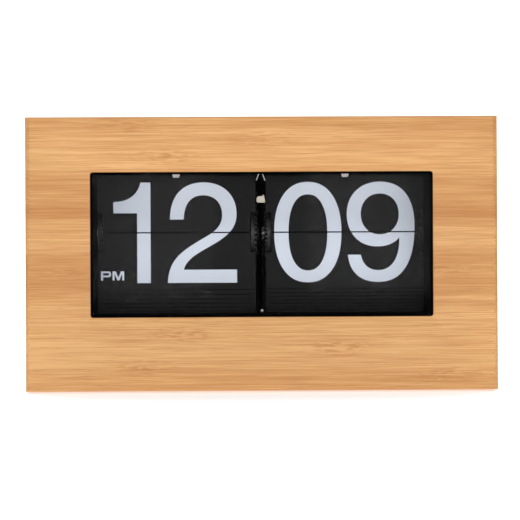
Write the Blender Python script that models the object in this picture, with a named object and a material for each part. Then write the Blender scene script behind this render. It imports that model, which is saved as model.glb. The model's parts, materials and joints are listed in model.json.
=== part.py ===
"""Flip number clock: a bamboo case around two split-leaf modules, their gear train, motor and battery.

Lengths are in millimetres until a mesh is made. X points right, Y to the back and Z up. The origin is
under the middle of the case, on the surface that the clock stands on.
"""
import math

import bmesh
import bpy
from mathutils import Vector

MM = 0.001
TAU = math.tau

# Case
CASE_WIDTH = 210.0
CASE_DEPTH = 85.0
CASE_HEIGHT = 122.0
CASE_BASE = 0.8
PANEL = 8.0
SEAM = 0.1
ROUND_SIDE = 2.5
ROUND_TOP = 1.0
ROUND_DEPTH = 2.0
FRONT = -CASE_DEPTH / 2
BACK = CASE_DEPTH / 2
CASE_TOP = CASE_BASE + CASE_HEIGHT

# Window
WINDOW_HALF = 76.1
WINDOW_LOW = 33.6
WINDOW_HIGH = 98.1
WINDOW_CORNER = 1.2
LINER_GAP = 0.15
LINER_WALL = 0.5
LINER_FLANGE = 5.0
LENS_FRONT = -41.0
LENS_BACK = -39.2

# Feet
FOOT_X = 88.0
FOOT_ROWS = (("front", -22.0), ("back", 32.0))
FOOT_RADIUS = 6.0
FOOT_EDGE = 0.3

# Rear cover and battery bay
COVER_FRONT = 37.0
COVER_BACK = 39.2
COVER_GAP = 0.4
DOOR_HALF = 54.0
DOOR_LOW = 10.6
DOOR_HIGH = 26.6
DOOR_GAP = 0.4
SCREW_X = 93.6
SCREW_LEVELS = (18.0, 105.0)
SCREW_BORE = 1.6
SCREW_SHANK = 1.3
SCREW_HEAD = (2.6, 2.3)
SCREW_RISE = 1.2
SCREW_TIP = 31.0
CLEAT_WIDTH = 6.3
CLEAT_DEPTH = 7.9
TRAY_HALF = 56.0
TRAY_FRONT = 20.6
TRAY_BACK = 36.8
TRAY_LOW = 9.6
TRAY_HIGH = 27.6
TRAY_WALL = 1.2
CELL_RADIUS = 7.2
CELL_LENGTH = 50.3
CELL_Y = 29.4
CELL_Z = 18.6
CELL_EDGE = 6.7
CELL_NUB = (2.7, 1.2)
CELLS_START = -47.2
CELL_SPACE = 0.3
SPRING_RADII = (4.6, 3.0)
SPRING_TURNS = 2.5
SPRING_WIRE = 0.4

# Movement
AXIS = (3.8, 71.6)
SHAFT = 1.5
BEARING = 1.7
PLATE_INNER = 75.9
PLATE_THICK = 1.8
PLATE_FRONT = -33.1
PLATE_BACK = 35.0
PLATE_LOW = 28.0
PLATE_HIGH = 107.0
CENTRE_HALF = 0.6
CENTRE_TOP = 106.0
CENTRE_SPINE = 20.0
BAR_REACH = 75.6
TIE_BAR = ((-14.6, 100.0), (-8.2, 106.0))
RAIL = ((-16.5, 29.0), (-14.7, 34.9))
RAIL_TAB = (2.2, 37.4)
CATCH = ((-14.2, -13.4), (96.8, 98.6, 99.7), (1.3, 1.85))
GUIDE_Y = -14.0
GUIDE_WIRE = 0.25

# Leaves: each module's leaf k hangs from a pin on one circle, MINUTE_STEP or HOUR_STEP degrees apart
PIN_RADIUS = 16.8
LEAF_LENGTH = 25.3
LEAF_THICK = 0.12
LEAF_INNER = 2.4
LEAF_OUTER = 74.9
NOTCH_WIDTH = 2.4
NOTCH_REACH = 9.2
SPLIT = 0.4
LEAF_CORNER = 1.0
MINUTE_STEP = 6.0
HOUR_STEP = 7.5
BAND_OUTER = 16.3
BAND_INNER = 15.3
LEG_HALF = 0.15
PACK_INNER = 5.0
PACK_OUTER = 72.3

# Drums
FLANGE_RADIUS = 17.7
SLOT_BOTTOM = 16.2
SLOT_SHARE = 0.27
INNER_FLANGE = (1.9, 4.5)
OUTER_FLANGE = (72.6, 74.6)
HUB_OUTER = 14.8
HUB_INNER = 13.6

# Gears
ADDENDUM = 0.8
DEDENDUM = 1.2
TIP_SHARE = 0.10
ROOT_SHARE = 0.29
MINUTE_PINION = (12, 0.4)
TRANSFER_WHEEL = (48, 0.4)
TRANSFER_PINION = (10, 12.0 / 35)
HOUR_WHEEL = (60, 12.0 / 35)
TRANSFER_ANGLE = math.radians(-45)
INNER_GEAR = (0.8, 1.6)
ARBOR = 0.8
ARBOR_BORE = 1.1
ARBOR_REACH = 1.7
DRIVE_WHEEL = (60, 0.6)
SETTING_PINION = (24, 0.6)
SETTING_ANGLE = math.radians(-20)
MOTOR_PINION = (12, 0.6)
MOTOR_ANGLE = math.radians(-110)
OUTER_GEAR = (79.2, 81.7)
THUMBWHEEL = (84.0, 89.0)
THUMBWHEEL_RADIUS = 14.5
KNURL_DEPTH = 0.6
SETTING_HUB = 4.0
MOTOR_CAN = (84.5, 95.0)
MOTOR_RADIUS = 15.0
MOTOR_EDGE = 0.6
MOTOR_POST = 2.0

# Pawl
PAWL_PIVOT = (0.0, 93.0)
PAWL_HALF = 2.2
PAWL_ARM = (0.9, 2.0)
PAWL_PIN = (1.2, 0.8)

# Wiring
BOARD = ((78.5, -22.0, 12.0), (80.1, 10.0, 40.0))
WIRE = 0.6


def make_material(name, colour, roughness, metallic=0.0, alpha=1.0):
    material = bpy.data.materials.new(name)
    material.use_nodes = True
    shader = material.node_tree.nodes["Principled BSDF"]
    shader.inputs["Base Color"].default_value = (*colour, 1.0)
    shader.inputs["Roughness"].default_value = roughness
    shader.inputs["Metallic"].default_value = metallic
    shader.inputs["Alpha"].default_value = alpha
    material.diffuse_color = (*colour, alpha)
    return material


def make_materials():
    return {
        "bamboo": make_material("bamboo", (0.66, 0.42, 0.21), 0.45),
        "batten": make_material("batten", (0.60, 0.45, 0.27), 0.7),
        "black": make_material("black", (0.012, 0.012, 0.014), 0.45),
        "leaf": make_material("leaf", (0.017, 0.018, 0.021), 0.5),
        "clear": make_material("clear", (0.95, 0.97, 0.98), 0.03, alpha=0.15),
        "steel": make_material("steel", (0.62, 0.62, 0.64), 0.3, metallic=1.0),
        "brass": make_material("brass", (0.75, 0.56, 0.26), 0.3, metallic=1.0),
        "cream": make_material("cream", (0.80, 0.74, 0.62), 0.4),
        "white": make_material("white", (0.85, 0.83, 0.82), 0.4),
        "rubber": make_material("rubber", (0.02, 0.02, 0.02), 0.8),
        "cell": make_material("cell", (0.05, 0.16, 0.34), 0.3),
        "board": make_material("board", (0.02, 0.17, 0.07), 0.4),
        "red": make_material("red", (0.55, 0.03, 0.02), 0.4),
    }


def place(axis, level, point):
    """A point of an outline, set at a level along the axis that the outline is square to."""
    u, v = point
    if axis == "X":
        return Vector((level, u, v))
    if axis == "Y":
        return Vector((u, level, v))
    return Vector((u, v, level))


def circle(radius, count, centre=(0.0, 0.0), turn=0.0):
    angles = [turn + TAU * i / count for i in range(count)]
    return [(centre[0] + radius * math.cos(a), centre[1] + radius * math.sin(a)) for a in angles]


def rectangle(low, high):
    return [(low[0], low[1]), (high[0], low[1]), (high[0], high[1]), (low[0], high[1])]


def rounded(low, high, radius, steps=3):
    """A rectangle with a quarter circle at each corner."""
    left, right = low[0] + radius, high[0] - radius
    bottom, top = low[1] + radius, high[1] - radius
    points = []
    for quarter, (x, z) in enumerate(((right, top), (left, top), (left, bottom), (right, bottom))):
        for i in range(steps + 1):
            angle = math.pi / 2 * (quarter + i / steps)
            points.append((x + radius * math.cos(angle), z + radius * math.sin(angle)))
    return points


def shift(outline, centre):
    return [(u + centre[0], v + centre[1]) for u, v in outline]


def add_wall(bm, first, second):
    count = len(first)
    for i in range(count):
        j = (i + 1) % count
        bm.faces.new((first[i], first[j], second[j], second[i]))


def add_cap(bm, loops):
    if len(loops) == 1:
        bm.faces.new(loops[0])
        return
    edges = [bm.edges.get((loop[i - 1], loop[i])) for loop in loops for i in range(len(loop))]
    bmesh.ops.triangle_fill(bm, edges=edges, use_beauty=False, use_dissolve=False)


def add_object(name, bm, material, pivot, smooth):
    bmesh.ops.recalc_face_normals(bm, faces=bm.faces)
    mesh = bpy.data.meshes.new(name)
    bm.to_mesh(mesh)
    bm.free()
    mesh.materials.append(material)
    if smooth:
        mesh.shade_smooth()
        mesh.set_sharp_from_angle(angle=math.radians(35))
    piece = bpy.data.objects.new(name, mesh)
    piece.location = Vector(pivot) * MM
    bpy.context.scene.collection.objects.link(piece)
    return piece


def solid(name, material, axis, rings, holes=(), pivot=(0.0, 0.0, 0.0), closed=False, smooth=False):
    """A closed solid through rings of (level, outline), all with the same number of points.

    Holes run straight through, from the first ring's level to the last's. A closed solid joins its
    last ring to its first, as a picture frame does, and has no end caps.
    """
    bm = bmesh.new()

    def add_ring(level, outline):
        return [bm.verts.new((place(axis, level, point) - Vector(pivot)) * MM) for point in outline]

    layers = [add_ring(level, outline) for level, outline in rings]
    bores = [[add_ring(rings[end][0], hole) for end in (0, -1)] for hole in holes]
    for first, second in zip(layers, layers[1:]):
        add_wall(bm, first, second)
    for first, second in bores:
        add_wall(bm, first, second)
    if closed:
        add_wall(bm, layers[-1], layers[0])
    else:
        for end in (0, -1):
            add_cap(bm, [layers[end]] + [bore[end] for bore in bores])
    return add_object(name, bm, material, pivot, smooth)


def prism(name, material, axis, start, end, outline, **extras):
    return solid(name, material, axis, [(start, outline), (end, outline)], **extras)


def box(name, material, low, high):
    return prism(name, material, "Z", low[2], high[2], rectangle(low[:2], high[:2]))


def unite(target, others):
    """Join helper solids into a target, which stays one closed body."""
    for other in others:
        other.hide_render = True
        other.display_type = "WIRE"
        modifier = target.modifiers.new("join " + other.name, "BOOLEAN")
        modifier.operation = "UNION"
        modifier.solver = "EXACT"
        modifier.object = other


def smooth_route(points, spacing):
    """Evenly spaced steps along a Catmull-Rom curve through the route's points."""
    knots = [Vector(p) for p in points]
    knots = [knots[0] * 2 - knots[1]] + knots + [knots[-1] * 2 - knots[-2]]
    route = []
    for a, b, c, d in zip(knots, knots[1:], knots[2:], knots[3:]):
        steps = max(2, round((c - b).length / spacing))
        for i in range(steps):
            t = i / steps
            route.append(0.5 * (2 * b + (c - a) * t + (2 * a - 5 * b + 4 * c - d) * t ** 2
                                + (3 * b - a - 3 * c + d) * t ** 3))
    return route + [knots[-2]]


def tube(name, material, points, radius, sides=2):
    curve = bpy.data.curves.new(name, "CURVE")
    curve.dimensions = "3D"
    curve.bevel_depth = radius * MM
    curve.bevel_resolution = sides
    curve.use_fill_caps = True
    spline = curve.splines.new("POLY")
    spline.points.add(len(points) - 1)
    for target, point in zip(spline.points, points):
        target.co = (*(Vector(point) * MM), 1.0)
    curve.materials.append(material)
    bpy.context.scene.collection.objects.link(bpy.data.objects.new(name, curve))


def on_drum(radius, degrees):
    """A point round a drum's axis: 0 degrees faces the front, and 90 degrees is the top."""
    angle = math.radians(degrees)
    return Vector((-radius * math.cos(angle), radius * math.sin(angle)))


def pin_place(step, index):
    """The (Y, Z) place of a leaf's pins."""
    return on_drum(PIN_RADIUS, step * (index + 0.5)) + Vector(AXIS)


def gear(teeth, module, phase, centre=(0.0, 0.0)):
    """Straight-flanked teeth, one of them centred on the phase angle."""
    pitch = TAU / teeth
    root = module * (teeth / 2 - DEDENDUM)
    tip = module * (teeth / 2 + ADDENDUM)
    points = []
    for i in range(teeth):
        for radius, share in ((root, -ROOT_SHARE), (tip, -TIP_SHARE), (tip, TIP_SHARE), (root, ROOT_SHARE)):
            angle = phase + pitch * (i + share)
            points.append((radius * math.cos(angle), radius * math.sin(angle)))
    return shift(points, centre)


def mesh_phase(driver_teeth, driver_phase, teeth, angle):
    """The phase that sets a gear's gap on its driver's tooth, for a gear at this angle from its driver."""
    pitch = TAU / driver_teeth
    offset = (driver_phase - angle) % pitch
    return angle + math.pi - offset * driver_teeth / teeth + math.pi / teeth


def gear_place(first, second, angle):
    """The centre of a gear that meshes with one on the drums' axis."""
    distance = first[1] * (first[0] + second[0]) / 2
    return (AXIS[0] + distance * math.cos(angle), AXIS[1] + distance * math.sin(angle))


def build_case(mat):
    half = CASE_WIDTH / 2
    rings = [(FRONT + PANEL, rectangle((-half, CASE_BASE), (half, CASE_TOP)))]
    round_steps = 4
    for i in range(round_steps + 1):
        angle = math.pi / 2 * i / round_steps
        x = half - ROUND_SIDE * (1 - math.cos(angle))
        inset = ROUND_TOP * (1 - math.cos(angle))
        level = FRONT + ROUND_DEPTH * (1 - math.sin(angle))
        rings.append((level, rectangle((-x, CASE_BASE + inset), (x, CASE_TOP - inset))))
    window = rounded((-WINDOW_HALF, WINDOW_LOW), (WINDOW_HALF, WINDOW_HIGH), WINDOW_CORNER)
    solid("front_panel", mat["bamboo"], "Y", rings, holes=[window])

    behind = FRONT + PANEL + SEAM
    box("top_panel", mat["bamboo"], (-half, behind, CASE_TOP - PANEL), (half, BACK, CASE_TOP))
    box("bottom_panel", mat["bamboo"], (-half, behind, CASE_BASE), (half, BACK, CASE_BASE + PANEL))
    side_low = CASE_BASE + PANEL + SEAM
    side_high = CASE_TOP - PANEL - SEAM
    box("left_panel", mat["bamboo"], (-half, behind, side_low), (PANEL - half, BACK, side_high))
    box("right_panel", mat["bamboo"], (half - PANEL, behind, side_low), (half, BACK, side_high))

    inner = half - PANEL - 0.2
    cleat_back = COVER_FRONT - 0.2
    for name, low, high, x in (("left_cleat", -inner, CLEAT_WIDTH - inner, -SCREW_X),
                               ("right_cleat", inner - CLEAT_WIDTH, inner, SCREW_X)):
        bores = [circle(SCREW_BORE, 12, (x, z)) for z in SCREW_LEVELS]
        outline = rectangle((low, side_low + 0.2), (high, side_high - 0.2))
        prism(name, mat["batten"], "Y", cleat_back - CLEAT_DEPTH, cleat_back, outline, holes=bores)

    profile = ((0.0, FOOT_RADIUS - FOOT_EDGE), (0.25, FOOT_RADIUS), (CASE_BASE - SEAM, FOOT_RADIUS))
    for row, y in FOOT_ROWS:
        for side, x in (("left", -FOOT_X), ("right", FOOT_X)):
            rings = [(z, circle(radius, 20, (x, y))) for z, radius in profile]
            solid(f"foot_{row}_{side}", mat["rubber"], "Z", rings, smooth=True)


def build_window(mat):
    outer = WINDOW_HALF - LINER_GAP
    low, high = WINDOW_LOW + LINER_GAP, WINDOW_HIGH - LINER_GAP
    wide = outer + LINER_FLANGE
    section_outer = rounded((-outer, low), (outer, high), 1.05)
    section_inner = rounded((LINER_WALL - outer, low + LINER_WALL),
                            (outer - LINER_WALL, high - LINER_WALL), 0.55)
    section_flange = rounded((-wide, low - LINER_FLANGE), (wide, high + LINER_FLANGE), 2.0)
    flange_front = FRONT + PANEL + 0.3
    flange_back = flange_front + 0.8
    rings = [(FRONT + 0.2, section_inner), (FRONT + 0.2, section_outer), (flange_front, section_outer),
             (flange_front, section_flange), (flange_back, section_flange), (flange_back, section_inner)]
    solid("window_liner", mat["black"], "Y", rings, closed=True)

    edge = outer - LINER_WALL - 0.15
    glass = rounded((-edge, low + LINER_WALL + 0.15), (edge, high - LINER_WALL - 0.15), 0.8)
    prism("window_lens", mat["clear"], "Y", LENS_FRONT, LENS_BACK, glass)


def build_rear(mat):
    half = CASE_WIDTH / 2 - PANEL - COVER_GAP
    low, high = CASE_BASE + PANEL + COVER_GAP, CASE_TOP - PANEL - COVER_GAP
    wheel_z = gear_place(DRIVE_WHEEL, SETTING_PINION, SETTING_ANGLE)[1]
    slot = rectangle((THUMBWHEEL[0] - 0.6, wheel_z - 12.0), (THUMBWHEEL[1] + 0.6, wheel_z + 12.0))
    bay = rectangle((-DOOR_HALF, DOOR_LOW), (DOOR_HALF, DOOR_HIGH))
    bores = [circle(SCREW_BORE, 12, (x, z)) for x in (-SCREW_X, SCREW_X) for z in SCREW_LEVELS]
    prism("rear_cover", mat["black"], "Y", COVER_FRONT, COVER_BACK, rectangle((-half, low), (half, high)),
          holes=[bay, slot] + bores)
    head = COVER_BACK + 0.1
    profile = ((SCREW_TIP, SCREW_SHANK), (head, SCREW_SHANK), (head, SCREW_HEAD[0]),
               (head + SCREW_RISE, SCREW_HEAD[1]))
    for level, z in zip(("lower", "upper"), SCREW_LEVELS):
        for side, x in (("left", -SCREW_X), ("right", SCREW_X)):
            rings = [(y, circle(radius, 12, (x, z))) for y, radius in profile]
            solid(f"screw_{level}_{side}", mat["steel"], "Y", rings, smooth=True)

    outer = rectangle((-TRAY_HALF, TRAY_LOW), (TRAY_HALF, TRAY_HIGH))
    pocket = rectangle((TRAY_WALL - TRAY_HALF, TRAY_LOW + TRAY_WALL),
                       (TRAY_HALF - TRAY_WALL, TRAY_HIGH - TRAY_WALL))
    rings = [(TRAY_FRONT, outer), (TRAY_BACK, outer), (TRAY_BACK, pocket), (TRAY_FRONT + TRAY_WALL, pocket)]
    solid("battery_tray", mat["black"], "Y", rings)

    door = rectangle((DOOR_GAP - DOOR_HALF, DOOR_LOW + DOOR_GAP),
                     (DOOR_HALF - DOOR_GAP, DOOR_HIGH - DOOR_GAP))
    prism("battery_door", mat["black"], "Y", COVER_FRONT, COVER_BACK, door)


def build_battery(mat):
    centre = (CELL_Y, CELL_Z)
    nub, nub_length = CELL_NUB
    for index, name in enumerate(("battery_cell_left", "battery_cell_right")):
        start = CELLS_START + index * (CELL_LENGTH + CELL_SPACE)
        shoulder, edge = start + CELL_LENGTH - nub_length, CELL_RADIUS - CELL_EDGE
        profile = ((start, CELL_EDGE), (start + edge, CELL_RADIUS), (shoulder - edge, CELL_RADIUS),
                   (shoulder, CELL_EDGE), (shoulder, nub), (start + CELL_LENGTH, nub))
        rings = [(x, circle(radius, 24, centre)) for x, radius in profile]
        solid(name, mat["cell"], "X", rings, smooth=True)
    plate_front = CELLS_START + 2 * (CELL_LENGTH + CELL_SPACE)
    half, thick = 5.0, 0.5
    contact = rectangle((CELL_Y - half, CELL_Z - half), (CELL_Y + half, CELL_Z + half))
    prism("battery_plate", mat["steel"], "X", plate_front, plate_front + thick, contact)

    steps = 26
    first = TRAY_WALL - TRAY_HALF + SPRING_WIRE + 0.1
    last = CELLS_START - SPRING_WIRE - 0.2
    coil = []
    for i in range(steps + 1):
        share = i / steps
        radius = SPRING_RADII[0] + (SPRING_RADII[1] - SPRING_RADII[0]) * share
        angle = TAU * SPRING_TURNS * share
        coil.append((first + (last - first) * share, CELL_Y + radius * math.cos(angle),
                     CELL_Z + radius * math.sin(angle)))
    tube("battery_spring", mat["steel"], coil, SPRING_WIRE, sides=1)


def build_chassis(mat):
    plate = rectangle((PLATE_FRONT, PLATE_LOW), (PLATE_BACK, PLATE_HIGH))
    bearing = circle(BEARING, 24, AXIS)
    setting = gear_place(DRIVE_WHEEL, SETTING_PINION, SETTING_ANGLE)
    outer = PLATE_INNER + PLATE_THICK
    prism("left_side_plate", mat["black"], "X", -outer, -PLATE_INNER, plate, holes=[bearing])
    prism("right_side_plate", mat["black"], "X", PLATE_INNER, outer, plate,
          holes=[bearing, circle(BEARING, 24, setting)])

    # The centre plate is a rear spine with arms for the tie bar, the pawl, the two shafts and the rail
    arms = ((TIE_BAR[1][0] + 0.3, 101.0, CENTRE_TOP), (-2.2, 90.8, 95.2), (-0.5, 56.0, 80.0),
            (RAIL[1][0] + 0.3, PLATE_LOW, 33.0))
    outline = [(PLATE_BACK, PLATE_LOW), (PLATE_BACK, CENTRE_TOP)]
    for reach, arm_low, arm_high in arms:
        outline += [(CENTRE_SPINE, arm_high), (reach, arm_high), (reach, arm_low), (CENTRE_SPINE, arm_low)]
    outline = [point for point in outline if point not in ((CENTRE_SPINE, CENTRE_TOP),
                                                           (CENTRE_SPINE, PLATE_LOW))]
    arbor = gear_place(MINUTE_PINION, TRANSFER_WHEEL, TRANSFER_ANGLE)
    prism("centre_plate", mat["black"], "X", -CENTRE_HALF, CENTRE_HALF, outline,
          holes=[bearing, circle(ARBOR_BORE, 16, arbor), circle(ARBOR_BORE, 16, PAWL_PIVOT)])

    (bar_front, bar_low), (bar_back, bar_high) = TIE_BAR
    box("top_tie_bar", mat["black"], (-BAR_REACH, bar_front, bar_low), (BAR_REACH, bar_back, bar_high))
    (rail_front, rail_low), (rail_back, rail_high) = RAIL
    tab_half, tab_high = RAIL_TAB
    outline = [(-BAR_REACH, rail_low), (BAR_REACH, rail_low), (BAR_REACH, rail_high), (tab_half, rail_high),
               (tab_half, tab_high), (-tab_half, tab_high), (-tab_half, rail_high), (-BAR_REACH, rail_high)]
    prism("lower_rail", mat["black"], "Y", rail_front, rail_back, outline)

    catch_x = (LEAF_INNER + LEAF_OUTER) / 2
    (catch_front, catch_back), (lip, shoulder, root), (lip_half, root_half) = CATCH
    for name, x in (("hour_catch", -catch_x), ("minute_catch", catch_x)):
        outline = [(x - lip_half, lip), (x + lip_half, lip), (x + root_half, shoulder), (x + root_half, root),
                   (x - root_half, root), (x - root_half, shoulder)]
        prism(name, mat["white"], "Y", catch_front, catch_back, outline)
    leg = [(2.0, 95.4), (0.95, 98.2), (0.6, 99.0)]
    wire = [(-x, GUIDE_Y, z) for x, z in leg] + [(x, GUIDE_Y, z) for x, z in reversed(leg)]
    tube("leaf_guide_wire", mat["steel"], wire, GUIDE_WIRE)


def slotted_rim(step):
    """A flange's rim with a notch for each leaf's pin."""
    count = round(360 / step)
    points = []
    for index in range(count):
        notch = ((FLANGE_RADIUS, -SLOT_SHARE), (SLOT_BOTTOM, 0.0), (FLANGE_RADIUS, SLOT_SHARE))
        for radius, share in notch:
            points.append(tuple(on_drum(radius, step * (index + 0.5 + share)) + Vector(AXIS)))
    return points


def build_drum(mat, name, side, step, shaft_end):
    """One module's shaft, hub and two slotted flanges; side is -1 for hours and 1 for minutes."""
    pivot = (0.0, *AXIS)
    bore = circle(SHAFT + 0.1, 24, AXIS)
    prism(name + "_shaft", mat["steel"], "X", side * 0.1, side * shaft_end, circle(SHAFT, 16, AXIS),
          pivot=pivot, smooth=True)
    gap = 0.3
    prism(name + "_hub", mat["black"], "X", side * (INNER_FLANGE[1] + gap), side * (OUTER_FLANGE[0] - gap),
          circle(HUB_OUTER, 36, AXIS), holes=[circle(HUB_INNER, 36, AXIS)], pivot=pivot, smooth=True)
    near, far = ("right", "left") if side < 0 else ("left", "right")
    for place_name, span in ((near, INNER_FLANGE), (far, OUTER_FLANGE)):
        prism(f"{name}_{place_name}_flange", mat["black"], "X", side * span[0], side * span[1],
              slotted_rim(step), holes=[bore], pivot=pivot)


def leaf_outline(side, half, step):
    """A leaf seen from the front; half is 1 above the split line and -1 below it."""
    tip = half * (pin_place(step, 0)[1] - AXIS[1] + LEAF_LENGTH) + AXIS[1]
    split, notch = AXIS[1] + half * SPLIT / 2, AXIS[1] + half * NOTCH_REACH
    turn = tip - half * LEAF_CORNER
    points = [(LEAF_INNER + NOTCH_WIDTH, split), (LEAF_OUTER - NOTCH_WIDTH, split),
              (LEAF_OUTER - NOTCH_WIDTH, notch), (LEAF_OUTER, notch)]
    for x, direction in ((LEAF_OUTER - LEAF_CORNER, 0), (LEAF_INNER + LEAF_CORNER, 1)):
        for i in range(3):
            angle = math.pi / 2 * (direction + i / 2)
            points.append((x + LEAF_CORNER * math.cos(angle), turn + half * LEAF_CORNER * math.sin(angle)))
    points += [(LEAF_INNER, notch), (LEAF_INNER + NOTCH_WIDTH, notch)]
    return [(side * x, z) for x, z in points]


def leaf_comb(step, first, last):
    """The outline of a run of leaves: a thin band under their pins, and a blade out of it for each.

    The blades point along the drum's rim while they stand, and straight down once they hang.
    """
    points = []
    for index in range(first, last + 1):
        round_drum = step * (index + 0.5)
        lean = min(90.0 + step * index, 270.0)
        pin, along = on_drum(PIN_RADIUS, round_drum), on_drum(1.0, lean)
        lead = along * LEG_HALF * along.dot(on_drum(1.0, round_drum + 90.0))
        half, tip = on_drum(LEAF_THICK / 2, lean - 90.0), pin + along * LEAF_LENGTH
        leg = math.degrees(LEG_HALF / BAND_OUTER)
        points += [on_drum(BAND_OUTER, round_drum - leg), pin + half - lead, tip + half, tip - half,
                   pin - half + lead, on_drum(BAND_OUTER, round_drum + leg)]
    start, end = step * (first + 0.5) - 1.5, step * (last + 0.5) + 1.5
    steps = math.ceil((end - start) / 10)
    inside = [on_drum(BAND_INNER, end + (start - end) * i / steps) for i in range(steps + 1)]
    points = [on_drum(BAND_OUTER, start)] + points + [on_drum(BAND_OUTER, end)] + inside
    return [tuple(point + Vector(AXIS)) for point in points]


def build_leaves(mat, name, side, step):
    pin_y, pin_z = pin_place(step, 0)
    front, back = pin_y - LEAF_THICK / 2, pin_y + LEAF_THICK / 2
    prism(name + "_leaf_front", mat["leaf"], "Y", front, back, leaf_outline(side, 1, step),
          pivot=(0.0, pin_y, pin_z))
    prism(name + "_leaf_lower", mat["leaf"], "Y", front, back, leaf_outline(side, -1, step))
    half_turn, count = round(180 / step), round(360 / step)
    for pack, first, last in (("standing", 1, half_turn), ("hanging", half_turn + 1, count - 2)):
        prism(f"{name}_leaves_{pack}", mat["leaf"], "X", side * PACK_INNER, side * PACK_OUTER,
              leaf_comb(step, first, last))


def build_gears(mat):
    pivot = (0.0, *AXIS)
    bore = circle(SHAFT + 0.1, 24, AXIS)
    pinion_phase = 0.0
    prism("minute_pinion", mat["steel"], "X", *INNER_GEAR, gear(*MINUTE_PINION, pinion_phase, AXIS),
          holes=[bore], pivot=pivot)

    arbor = gear_place(MINUTE_PINION, TRANSFER_WHEEL, TRANSFER_ANGLE)
    arbor_pivot = (0.0, *arbor)
    wheel_phase = mesh_phase(MINUTE_PINION[0], pinion_phase, TRANSFER_WHEEL[0], TRANSFER_ANGLE)
    wheel = prism("transfer_gear", mat["black"], "X", *INNER_GEAR,
                  gear(*TRANSFER_WHEEL, wheel_phase, arbor), pivot=arbor_pivot)
    stem = prism("transfer_arbor_guide", mat["black"], "X", -ARBOR_REACH, ARBOR_REACH,
                 circle(ARBOR, 16, arbor), pivot=arbor_pivot)
    small = prism("transfer_pinion_guide", mat["black"], "X", -INNER_GEAR[1], -INNER_GEAR[0],
                  gear(*TRANSFER_PINION, 0.0, arbor), pivot=arbor_pivot)
    unite(wheel, [stem, small])

    hour_phase = mesh_phase(TRANSFER_PINION[0], 0.0, HOUR_WHEEL[0], TRANSFER_ANGLE + math.pi)
    prism("hour_gear", mat["black"], "X", -INNER_GEAR[1], -INNER_GEAR[0],
          gear(*HOUR_WHEEL, hour_phase, AXIS), holes=[bore], pivot=pivot)
    prism("minute_drive_gear", mat["white"], "X", *OUTER_GEAR, gear(*DRIVE_WHEEL, 0.0, AXIS),
          holes=[bore], pivot=pivot)


def build_setting(mat):
    centre = gear_place(DRIVE_WHEEL, SETTING_PINION, SETTING_ANGLE)
    phase = mesh_phase(DRIVE_WHEEL[0], 0.0, SETTING_PINION[0], SETTING_ANGLE)
    teeth = gear(*SETTING_PINION, phase, centre)
    count = len(teeth)
    turn = phase - ROOT_SHARE * TAU / SETTING_PINION[0]
    hub = circle(SETTING_HUB, count, centre, turn)
    knurl = []
    for i in range(count):
        radius = THUMBWHEEL_RADIUS - (KNURL_DEPTH if i % 2 else 0.0)
        angle = turn + TAU * i / count
        knurl.append((centre[0] + radius * math.cos(angle), centre[1] + radius * math.sin(angle)))
    rings = [(OUTER_GEAR[0], teeth), (OUTER_GEAR[1], teeth), (OUTER_GEAR[1], hub), (THUMBWHEEL[0], hub),
             (THUMBWHEEL[0], knurl), (THUMBWHEEL[1], knurl)]
    solid("setting_wheel", mat["black"], "X", rings, holes=[circle(BEARING, 24, centre)],
          pivot=(0.0, *centre))
    prism("setting_axle", mat["steel"], "X", PLATE_INNER + 0.3, THUMBWHEEL[1] + 1.2,
          circle(SHAFT, 16, centre), smooth=True)


def build_motor(mat):
    centre = gear_place(DRIVE_WHEEL, MOTOR_PINION, MOTOR_ANGLE)
    phase = mesh_phase(DRIVE_WHEEL[0], 0.0, MOTOR_PINION[0], MOTOR_ANGLE)
    teeth = gear(*MOTOR_PINION, phase, centre)
    stem = circle(1.2, len(teeth), centre, phase - ROOT_SHARE * TAU / MOTOR_PINION[0])
    rings = [(OUTER_GEAR[0], teeth), (OUTER_GEAR[1], teeth), (OUTER_GEAR[1], stem),
             (MOTOR_CAN[0] - 0.3, stem)]
    solid("motor_pinion", mat["brass"], "X", rings, pivot=(0.0, *centre))

    y, z = centre
    near, far = MOTOR_CAN
    profile = ((near, MOTOR_RADIUS - MOTOR_EDGE), (near + MOTOR_EDGE, MOTOR_RADIUS),
               (far - MOTOR_EDGE, MOTOR_RADIUS), (far, MOTOR_RADIUS - MOTOR_EDGE))
    rings = [(x, circle(radius, 32, centre)) for x, radius in profile]
    can = solid("motor_case", mat["steel"], "X", rings, smooth=True)
    foot = PLATE_INNER + PLATE_THICK + 0.3
    posts = [prism(f"motor_post_guide_{index}", mat["steel"], "X", foot, near + 1.0,
                   circle(MOTOR_POST, 12, (y + 11.0 * side, z - 5.0)))
             for index, side in enumerate((-1, 1))]
    unite(can, posts)


def build_wiring(mat):
    box("driver_board", mat["board"], *BOARD)
    plus = [(56.7, 28.0, 22.0), (60.0, 27.0, 21.0), (65.0, 20.0, 17.0), (71.0, 10.0, 16.0),
            (75.5, 4.0, 19.0), (77.9, 2.0, 22.0)]
    minus = [(-56.9, 28.0, 16.0), (-60.0, 24.0, 15.0), (-57.0, 18.0, 14.0), (-45.0, 17.4, 12.6),
             (-15.0, 17.6, 11.6), (15.0, 17.2, 11.8), (45.0, 17.4, 12.4), (62.0, 14.0, 13.0),
             (72.0, 4.0, 15.0), (77.9, -5.0, 18.0)]
    tube("wire_red", mat["red"], smooth_route(plus, 3.0), WIRE)
    tube("wire_black", mat["rubber"], smooth_route(minus, 6.0), WIRE)


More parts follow.
